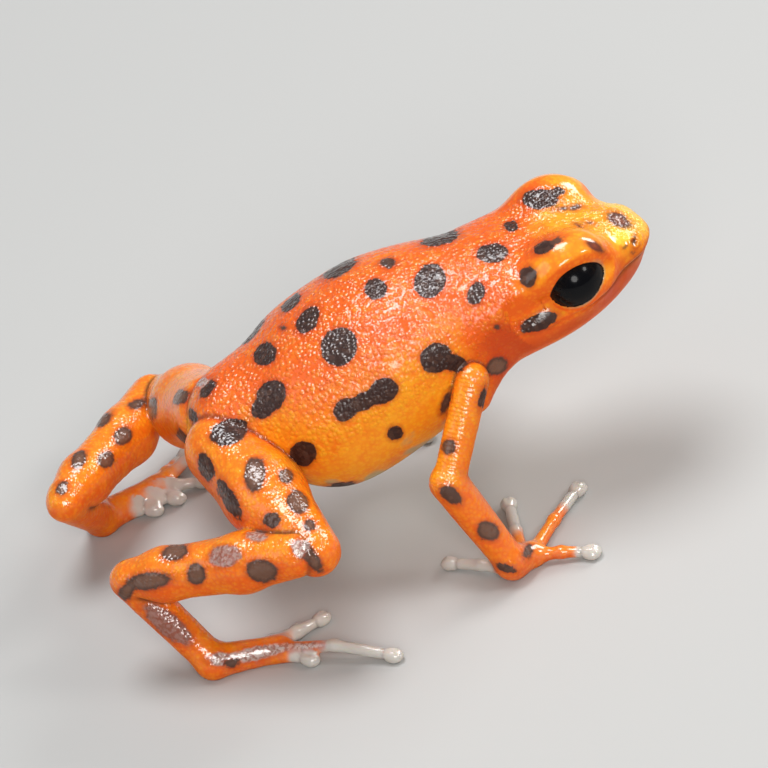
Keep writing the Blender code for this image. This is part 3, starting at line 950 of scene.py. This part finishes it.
HEAD_MARKS = (
    (619, 220, 25, 12, -25, 1.6), (595, 246, 19, 8, -32, 2), (562, 209, 12, 3, 8, 1),
    (576, 207, 10, 5, 5, 0.8), (578, 225, 7, 2, -30, 1.2), (590, 223, 6, 2, -10, 1.5),
    # the mark at (634, 241) darkens the nostril's slit: painted shade
    (634, 241, 7, 2, 85, 0.8), (625, 247, 4, 2, 40, 1.9), (633, 253, 4, 3, 0, 0.8),
)
LIMB_SPOTS = (
    (206, 467, 30, 15, -70, 0.2), (229, 499, 44, 14, -60, 0.2), (255, 474, 35, 21, 85, 0.9),
    (286, 476, 15, 14, 0, 0.9), (298, 502, 25, 21, -60, 0.9), (272, 520, 17, 16, 0, 0.4),
    (310, 525, 12, 12, 0, 0.9), (175, 552, 27, 17, 15, 1), (225, 556, 32, 22, 5, 2.5),
    (257, 536, 20, 10, 0, 2.7), (196, 574, 22, 19, 90, 0.8), (262, 571, 32, 23, -12, 0.8),
    (302, 549, 22, 18, -40, 2.8), (313, 560, 30, 12, -55, 1), (149, 581, 44, 18, 6, 1),
    (126, 592, 24, 13, 52, 1), (168, 624, 58, 22, -38, 2.4), (222, 659, 28, 13, 0, 2.8),
    (257, 653, 62, 13, 12, 3), (304, 646, 32, 7, 2, 3), (232, 663, 12, 11, 0, 0.6),
    (449, 447, 15, 15, 0, 0.8), (446, 403, 24, 8, 70, 0.9), (483, 398, 20, 8, 76, 0.3),
    (451, 495, 26, 15, -40, 0.5), (488, 531, 23, 19, -20, 0.8), (528, 551, 17, 9, 62, 1),
    (506, 568, 22, 8, -14, 0.4), (179, 397, 24, 15, 8, 0.8), (151, 409, 24, 14, 78, 0.8),
    (137, 404, 18, 10, 15, 1), (123, 436, 20, 17, 50, 1), (106, 460, 18, 16, 40, 1),
    (104, 420, 20, 10, 42, 1), (79, 459, 22, 14, 62, 0.9), (62, 488, 16, 12, 60, 1),
    (182, 438, 27, 12, 82, 0.6), (201, 382, 19, 8, 5, 3),
)
# Pale patches of the flank's lower edge, in the same way
PALE_MARKS = (
    (408, 440, 34, 12, 48, 0), (372, 478, 46, 8, 18, 0),
)


def photo_spots(tree, rows):
    """Spots of the photo, set on the skin by looking through the photo's camera."""
    found = []
    for across, down, length, width, lean, tone in rows:
        toward = photo_ray((across, down))
        hit, normal, _, _ = tree.ray_cast(Vector(CAMERA_AT), Vector(toward))
        if hit is None:
            print("no skin at the spot", across, down)
            continue
        turn = math.radians(lean)
        long_way = RIGHT * math.cos(turn) + UP * math.sin(turn)
        short_way = UP * math.cos(turn) - RIGHT * math.sin(turn)
        long_axis = long_way * length / 2 / PHOTO_SCALE
        short_axis = short_way * width / 2 / PHOTO_SCALE
        found.append(Spot(np.array(hit), np.array(normal), -toward, long_axis, short_axis, tone))
    return found


def shows(tree, point, normal):
    """Whether the photo's camera sees this place of the skin."""
    if normal @ BACK < -0.05:
        return False
    start = Vector(point + normal * 0.03 + BACK * 0.03)
    return tree.ray_cast(start, Vector(BACK))[0] is None


def any_shows(tree, point, normal, reach):
    """Whether the photo's camera sees any of the skin round a place."""
    level = np.cross(normal, BACK)
    level /= max(np.linalg.norm(level), 1e-6)
    for turn in np.linspace(0.0, 2 * math.pi, 8, endpoint=False):
        step = level * math.cos(turn) + np.cross(normal, level) * math.sin(turn)
        near, facing, _, _ = tree.find_nearest(Vector(point + step * reach))
        if shows(tree, np.array(near), np.array(facing)):
            return True
    return shows(tree, point, normal)


# Hidden spots: the seed that scatters them, and how many places are tried; half their
# length on the trunk, on the limbs, and how much less it is on the head; the room between
# them; and their width as a share of their length
SPOT_SEED = 11
SPOT_TRIES = 9000
TORSO_SPOT = (0.50, 0.95)
LIMB_SPOT = (0.36, 0.60)
HEAD_SPOT_SHARE = 0.6
SPOT_ROOM = (0.55, 1.0)
SPOT_WIDTH = (0.6, 0.95)
# How softly two spots run together
SPOT_BLEND = 0.14


def hidden_spots(tree, points, normals, taken):
    """Spots for the skin that the photo doesn't show, of its kind and closeness."""
    wander = np.random.default_rng(SPOT_SEED)
    torso = distance_of(TORSO, points)
    _, _, from_digit, _ = along_digits(points)
    past = beyond_lids(points)
    fits = (points[:, 2] > 1.3) & (from_digit > 1.0) & (past > 0.45) & (normals[:, 2] > -0.75)
    found = []
    order = wander.permutation(np.flatnonzero(fits))
    for index in order[:SPOT_TRIES]:
        point, normal = points[index], normals[index]
        on_torso = torso[index] < 0.15
        length = wander.uniform(*(TORSO_SPOT if on_torso else LIMB_SPOT))
        if on_torso and -point[1] > 15.5:
            length *= HEAD_SPOT_SHARE
        room = [
            np.linalg.norm(point - spot.centre) - np.linalg.norm(spot.long_axis)
            for spot in taken + found
        ]
        if min(room) < length + wander.uniform(*SPOT_ROOM):
            continue
        if any_shows(tree, point, normal, length + 0.15):
            continue
        across = np.cross(normal, wander.normal(size=3))
        across /= np.linalg.norm(across)
        width = length * wander.uniform(*SPOT_WIDTH)
        tone = 0.0 if on_torso else 0.9
        other = np.cross(normal, across) * width
        found.append(Spot(point, normal, normal, across * length, other, tone))
    return found


def paint_spots(points, normals, spots):
    """For each point, how far inside a spot it is in millimetres, and the spot's tone."""
    inside = np.full(len(points), -1.0)
    tones = np.zeros(len(points))
    for spot in spots:
        long_length, short_length = np.linalg.norm(spot.long_axis), np.linalg.norm(spot.short_axis)
        offset = points - spot.centre
        near = length_of(offset) < 1.5 * long_length + 1.2
        near &= normals @ spot.normal > -0.1
        where = np.flatnonzero(near)
        offset = offset[where]
        basis = np.stack([spot.long_axis, spot.short_axis, spot.along], axis=1)
        parts = np.linalg.solve(basis, offset.T)
        reach = np.sqrt(parts[0] ** 2 + parts[1] ** 2)
        limit = 1.15 * long_length + 0.15 - length_of(offset)
        here = np.minimum((1.0 - reach) * short_length, limit)
        tones[where] = np.where(here > inside[where] - 0.08, spot.tone, tones[where])
        inside[where] = cut(here, inside[where], SPOT_BLEND)
    return inside, tones


# Materials


class Tree:
    """Short ways to add the nodes of a material; sizes and depths are in millimetres."""

    def __init__(self, name):
        self.material = bpy.data.materials.new(name)
        self.material.use_nodes = True
        self.nodes = self.material.node_tree.nodes

    def fill(self, socket, value):
        if isinstance(value, bpy.types.NodeSocket):
            self.material.node_tree.links.new(value, socket)
        elif socket.type == "RGBA":
            socket.default_value = value + (1.0,)
        else:
            socket.default_value = value

    def set(self, values):
        """Sets or links the shader's own sockets."""
        for name, value in values.items():
            self.fill(self.nodes["Principled BSDF"].inputs[name], value)

    def node(self, kind, inputs, **settings):
        """A new node's outputs, from its inputs by number or name."""
        made = self.nodes.new("ShaderNode" + kind)
        for name, value in settings.items():
            setattr(made, name, value)
        for key, value in inputs.items():
            self.fill(made.inputs[key], value)
        return made.outputs

    def attribute(self, name):
        return self.node("Attribute", {}, attribute_name=name)["Fac"]

    def place(self):
        return self.node("TexCoord", {})["Object"]

    def math(self, operation, *values):
        return self.node("Math", dict(enumerate(values)), operation=operation)[0]

    def times(self, first, *others):
        for other in others:
            first = self.math("MULTIPLY", first, other)
        return first

    def add_to(self, total, value, share):
        """The total and a share of how far the value is above a half."""
        return self.math("MULTIPLY_ADD", self.math("SUBTRACT", value, 0.5), share, total)

    def ramp(self, *values):
        """A smooth ramp of a value, from its low and high ends to 0 and 1 or two others."""
        return self.node("MapRange", dict(enumerate(values)), interpolation_type="SMOOTHSTEP")[0]

    def mix(self, share, first, second):
        return self.node("Mix", {0: share, 6: first, 7: second}, data_type="RGBA")[2]

    def layers(self, colour, rows):
        """The colour with others laid over it, each by its share."""
        for share, shade in rows:
            colour = self.mix(share, colour, shade)
        return colour

    def noise(self, size, detail=2.0):
        """Noise whose blobs are about the given size."""
        inputs = {"Vector": self.place(), "Scale": 1.0 / (size * MM), "Detail": detail}
        return self.node("TexNoise", inputs)["Fac"]

    def grains(self, size):
        """Round grains of about the given size: their height, and a shade of their own."""
        inputs = {"Vector": self.place(), "Scale": 1.0 / (size * MM), "Randomness": 0.9}
        grain = self.node("TexVoronoi", inputs)
        return self.ramp(grain["Distance"], 0.05, 0.72, 1.0, 0.0), grain["Color"]

    def bump(self, height, depth, strength, below=None):
        """The relief's normal, on top of the relief below it."""
        inputs = {"Distance": depth * MM, "Strength": strength, "Height": height}
        if below is not None:
            inputs["Normal"] = below
        return self.node("Bump", inputs)["Normal"]


# Colours, linear
RED_ORANGE = (0.83, 0.118, 0.005)
# painted shade of the head's lower sides
SHADE_DEEP_RED = (0.50, 0.044, 0.006)
ORANGE = (0.88, 0.195, 0.008)
YELLOW_ORANGE = (0.93, 0.34, 0.012)
YELLOW = (0.95, 0.58, 0.040)
PINK = (0.72, 0.34, 0.22)
CREAM = (0.58, 0.54, 0.49)
BELLY_CREAM = (0.50, 0.36, 0.17)
FRINGE = (0.45, 0.035, 0.006)
SPOT_BLACK = (0.040, 0.016, 0.012)
SPOT_BROWN = (0.170, 0.078, 0.048)
SPOT_RED = (0.27, 0.052, 0.020)
# partly the spots' own grey, partly painted sheen on the tops of the limbs and feet
SPOT_GREY_SHEEN = (0.56, 0.44, 0.40)
# painted shade of the mouth line, nostrils, disc rings and folds
CREASE_SHADE = (0.08, 0.022, 0.010)
LID_EDGE = (0.42, 0.30, 0.16)
EYE_BLACK = (0.003, 0.003, 0.004)
IRIS_BROWN = (0.016, 0.009, 0.005)

# Relief of the material, in millimetres, and how far the wrinkles stray, in radians
GRAIN_SIZE = 0.20
PEBBLE_DEPTH = 0.040
FINE_DEPTH = 0.016
WRINKLE_SPACING = 0.19
WRINKLE_DEPTH = 0.0055
WRINKLE_WANDER = 7.0
SKIN_ATTRIBUTES = "yellow red pale dark grain digit spot tone rim lid wet run wrinkle".split()


def spot_colour(tree, tone, edge, own_shade):
    """A spot's brown by its tone, with grey speckles that are partly painted glint, paler grains
    and a dark rim.
    """
    glint_speckle = tree.ramp(tree.noise(0.16), 0.38, 0.62, 0.30, 1.15)
    rimmed = tree.times(tree.ramp(edge, 0.20, 0.04, 0.0, 0.6), tree.ramp(tone, 0.3, 0.9))
    rows = (
        (tree.ramp(tone, 0.1, 1.0), SPOT_BROWN),
        (tree.ramp(tone, 1.2, 2.0), SPOT_RED),
        # grey of painted sheen, broken into speckles of painted glint
        (tree.times(tree.ramp(tone, 2.1, 3.0), glint_speckle), SPOT_GREY_SHEEN),
        (tree.ramp(own_shade, 0.45, 1.0, 0.0, 0.35), SPOT_BROWN),
        (tree.times(rimmed, tree.ramp(tone, 1.9, 2.5, 1.0, 0.0)), SPOT_BLACK),
    )
    return tree.layers(SPOT_BLACK, rows)


def skin_colour(tree, mark, mottle, granule, own_shade):
    """The orange ground, and what lies over it up to the black inside of the lids."""
    uneven = tree.add_to(0.0, tree.noise(1.1, detail=3.0), 0.8)
    per_grain = tree.times(tree.math("SUBTRACT", own_shade, 0.5), mark["grain"])
    warmth = tree.math("ADD", mark["yellow"], tree.math("MULTIPLY_ADD", per_grain, 0.35, uneven))
    # painted shade: redder and darker in the hollows between the grains, yellower on their tops
    warmth = tree.math("MULTIPLY_ADD", tree.math("SUBTRACT", granule, 0.55), 0.25, warmth)
    ragged = tree.add_to(mark["pale"], mottle, 0.5)
    edge = tree.add_to(tree.add_to(mark["spot"], mottle, 0.13), own_shade, 0.07)
    marked = tree.math("DIVIDE", edge, tree.ramp(mark["tone"], 0.2, 1.0, 0.03, 0.06))
    rows = (
        (tree.ramp(warmth, 0.0, 0.35), ORANGE),
        (tree.ramp(warmth, 0.30, 0.80), YELLOW_ORANGE),
        (tree.ramp(warmth, 0.80, 1.20), YELLOW),
        # painted shade below and behind the eye
        (tree.times(mark["red"], 0.75), SHADE_DEEP_RED),
        (tree.times(mark["digit"], tree.ramp(ragged, 0.0, 0.55, 0.0, 0.6)), PINK),
        (tree.ramp(ragged, 0.35, 0.95), tree.mix(mark["digit"], BELLY_CREAM, CREAM)),
        (tree.ramp(edge, -0.22, 0.0, 0.0, 0.5), FRINGE),
        (tree.ramp(marked, -1.0, 1.0), spot_colour(tree, mark["tone"], edge, own_shade)),
        (tree.times(mark["rim"], 0.55), LID_EDGE),
        # painted shade in the mouth line, nostrils, disc rings and folds
        (mark["dark"], CREASE_SHADE),
        (tree.ramp(mark["lid"], -0.004, 0.016, 1.0, 0.0), EYE_BLACK),
    )
    return tree.layers(RED_ORANGE, rows)


def skin_relief(tree, mark, mottle, granule):
    """The finest grain, the wrinkles across the upper arms, and pebbles."""
    fine_strength = tree.ramp(mark["grain"], 0.0, 1.0, 0.15, 1.0)
    fine = tree.bump(tree.noise(0.08), FINE_DEPTH, fine_strength)
    wander = tree.times(mottle, WRINKLE_WANDER)
    waves = tree.math("MULTIPLY_ADD", mark["run"], 2 * math.pi / WRINKLE_SPACING, wander)
    wrinkled = tree.bump(tree.math("SINE", waves), WRINKLE_DEPTH, mark["wrinkle"], fine)
    return tree.bump(granule, PEBBLE_DEPTH, tree.ramp(mark["grain"], 0.05, 1.0), wrinkled)


def skin_material():
    tree = Tree("frog_skin")
    mark = {name: tree.attribute(name) for name in SKIN_ATTRIBUTES}
    mottle = tree.noise(0.35)
    granule, own_shade = tree.grains(GRAIN_SIZE)
    relief = skin_relief(tree, mark, mottle, granule)
    tree.set({
        "Base Color": skin_colour(tree, mark, mottle, granule, own_shade),
        "Roughness": tree.ramp(mottle, 0.3, 0.7, 0.38, 0.52),
        "Specular IOR Level": 0.10,
        "Subsurface Weight": 0.10,
        "Subsurface Radius": (1.0, 0.35, 0.12),
        "Subsurface Scale": 0.35 * MM,
        "Coat Weight": mark["wet"],
        "Coat Roughness": 0.11,
        "Coat IOR": 1.70,
        "Normal": relief,
        "Coat Normal": relief,
    })
    return tree.material


def eye_material():
    """Nearly black, with a faint brown iris round a level pupil."""
    tree = Tree("frog_eye")
    grain = tree.noise(0.12, detail=3.0)
    shade = tree.times(tree.ramp(tree.attribute("iris"), 0.25, 0.8), tree.ramp(grain, 0.3, 0.7))
    tree.set({
        "Base Color": tree.mix(shade, EYE_BLACK, IRIS_BROWN),
        "Roughness": 0.20,
        "Specular IOR Level": 0.06,
        "Coat Weight": 0.14,
        "Coat Roughness": 0.06,
    })
    return tree.material


# The studio floor, in metres: half its width, its two greys, and the distances between
# which a soft glow sets in that keeps the far floor pale
FLOOR_HALF = 1.5
FLOOR_CORNERS = ((-1, -1), (1, -1), (1, 1), (-1, 1))
FLOOR_GREYS = ((0.45, 0.45, 0.44), (0.48, 0.48, 0.47))
FLOOR_GLOW = 0.40
FLOOR_GLOW_FROM_TO = (0.10, 0.42)


def floor_material():
    tree = Tree("studio_floor")
    away = tree.node("VectorMath", {0: tree.place()}, operation="LENGTH")["Value"]
    tree.set({
        "Base Color": tree.mix(tree.noise(60.0, detail=1.0), *FLOOR_GREYS),
        "Emission Color": (0.97, 0.97, 0.95),
        "Emission Strength": tree.ramp(away, *FLOOR_GLOW_FROM_TO, 0.0, FLOOR_GLOW),
        "Roughness": 0.7,
    })
    return tree.material


# Objects


def own_shift():
    """From the frog's own places to the solids' places: found from the left eye."""
    low, high = (np.array(corner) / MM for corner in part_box("eye_left"))
    centre = place(EYE_CENTRE)
    return np.array([low[0], high[1], low[2]]) + EYE_RADIUS * np.array([1, -1, 1]) - centre


SHIFT = own_shift()


def add_object(name, data):
    made = bpy.data.objects.new(name, data)
    bpy.context.scene.collection.objects.link(made)
    return made


def add_piece(name, points, faces, material, attributes):
    """A piece of the frog that rides on its body."""
    mesh = bpy.data.meshes.new(name)
    mesh.from_pydata(((points + SHIFT) * MM).tolist(), [], faces)
    mesh.update()
    mesh.shade_smooth()
    for key, values in attributes.items():
        layer = mesh.attributes.new(key, "FLOAT", "POINT")
        layer.data.foreach_set("value", np.asarray(values, np.float32))
    mesh.materials.append(material)
    made = add_object(name, mesh)
    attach(made, "root")
    return made


def point_normals(points, faces):
    mesh = bpy.data.meshes.new("measured")
    mesh.from_pydata(points.tolist(), [], faces)
    mesh.update()
    normals = np.zeros(len(points) * 3, np.float32)
    mesh.vertex_normals.foreach_get("vector", normals)
    bpy.data.meshes.remove(mesh)
    return normals.reshape(-1, 3).astype(float)


def add_skin():
    points, faces = skin_mesh()
    normals = point_normals(points, faces)
    tree = BVHTree.FromPolygons(points.tolist(), faces)
    shown, fold = regions(points, normals)
    spots = photo_spots(tree, BODY_SPOTS + HEAD_MARKS + LIMB_SPOTS)
    spots += hidden_spots(tree, points, normals, spots)
    shown["spot"], shown["tone"] = paint_spots(points, normals, spots)
    pale, _ = paint_spots(points, normals, photo_spots(tree, PALE_MARKS))
    shown["pale"] = np.maximum(shown["pale"], 0.55 * fade(-0.20, 0.20, pale))
    _, _, from_digit, _ = along_digits(points)
    shown["digit"] = fade(1.3, 0.7, from_digit) * fade(1.9, 1.2, points[:, 2])
    lift = GRANULE_HEIGHT * shown["grain"] * (granules(points, GRANULE_SPACING) - 0.45)
    lift = (lift - FOLD_DEPTH * fold) * fade(0.0, 0.1, points[:, 2])
    points = points + normals * lift[:, None]
    flesh = [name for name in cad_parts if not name.startswith("eye_")]
    skin = add_piece("skin", points, faces, skin_material(), shown)
    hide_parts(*flesh)


def add_eye(name, side, material):
    """An eyeball whose cornea rises towards the opening of the lids."""
    centre, outward, forward, upward = EYES[side]
    ball = bmesh.new()
    bmesh.ops.create_uvsphere(ball, u_segments=96, v_segments=64, radius=1.0)
    points, iris = [], []
    for vertex in ball.verts:
        direction = vertex.co.x * forward + vertex.co.y * upward + vertex.co.z * outward
        facing = max(0.0, vertex.co.z)
        points.append(centre + direction * (EYE_RADIUS + CORNEA_RISE * facing**6))
        iris.append(math.hypot(vertex.co.x * 0.8, vertex.co.y) if vertex.co.z > 0 else 1.0)
    faces = corners(ball.faces)
    if np.cross(forward, upward) @ outward < 0:
        faces = [face[::-1] for face in faces]
    ball.free()
    made = add_piece("eyeball_" + name, np.array(points), faces, material, {"iris": iris})
    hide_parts("eye_" + name)


def add_floor():
    mesh = bpy.data.meshes.new("floor")
    rim = [(side * FLOOR_HALF, end * FLOOR_HALF, 0) for side, end in FLOOR_CORNERS]
    mesh.from_pydata(rim, [], [(0, 1, 2, 3)])
    mesh.materials.append(floor_material())
    add_object("floor", mesh)


# Round soft lights: place and width in millimetres, power in watts, and colour
LIGHTS = {
    "sky": ((50, -15, 258), 140, 0.49, (0.97, 0.98, 1.0)),
    "front": ((110, 185, 135), 110, 0.30, (1.0, 0.99, 0.97)),
    "brow": ((-75, 190, 165), 55, 0.12, (1.0, 0.99, 0.97)),
    "side": ((-215, 0, 155), 110, 0.38, (1.0, 0.98, 0.95)),
    "rear": ((-60, -260, 200), 180, 0.08, (0.97, 0.98, 1.0)),
}
LIGHTS_AIM = (0, 0, 8)
WORLD_COLOUR = (0.86, 0.89, 0.92, 1.0)
WORLD_STRENGTH = 0.16


def add_lights():
    for name, (at, size, power, colour) in LIGHTS.items():
        light = bpy.data.lights.new(name, "AREA")
        light.shape = "DISK"
        light.energy = power
        light.size = size * MM
        light.color = colour
        made = add_object(name, light)
        made.location = place(at) * MM
        toward = Vector(place(LIGHTS_AIM) * MM) - made.location
        made.rotation_euler = toward.to_track_quat("-Z", "Y").to_euler()
    world = bpy.data.worlds.new("studio")
    world.use_nodes = True
    background = world.node_tree.nodes["Background"]
    background.inputs["Color"].default_value = WORLD_COLOUR
    background.inputs["Strength"].default_value = WORLD_STRENGTH
    bpy.context.scene.world = world


def add_camera():
    camera = bpy.data.cameras.new("photo")
    camera.sensor_width = SENSOR
    camera.lens = SENSOR * CAMERA_DISTANCE * PHOTO_SCALE / PHOTO_PIXELS
    camera.clip_start = 0.01
    camera.clip_end = 10.0
    made = add_object("photo", camera)
    turn = Matrix([RIGHT, UP, BACK]).transposed().to_4x4()
    turn.translation = Vector((CAMERA_AT + SHIFT) * MM)
    made.matrix_world = turn
    bpy.context.scene.camera = made


add_camera()
add_skin()
black = eye_material()
add_eye("right", -1, black)
add_eye("left", 1, black)
add_floor()
add_lights()
bpy.context.scene.view_settings.view_transform = "Standard"
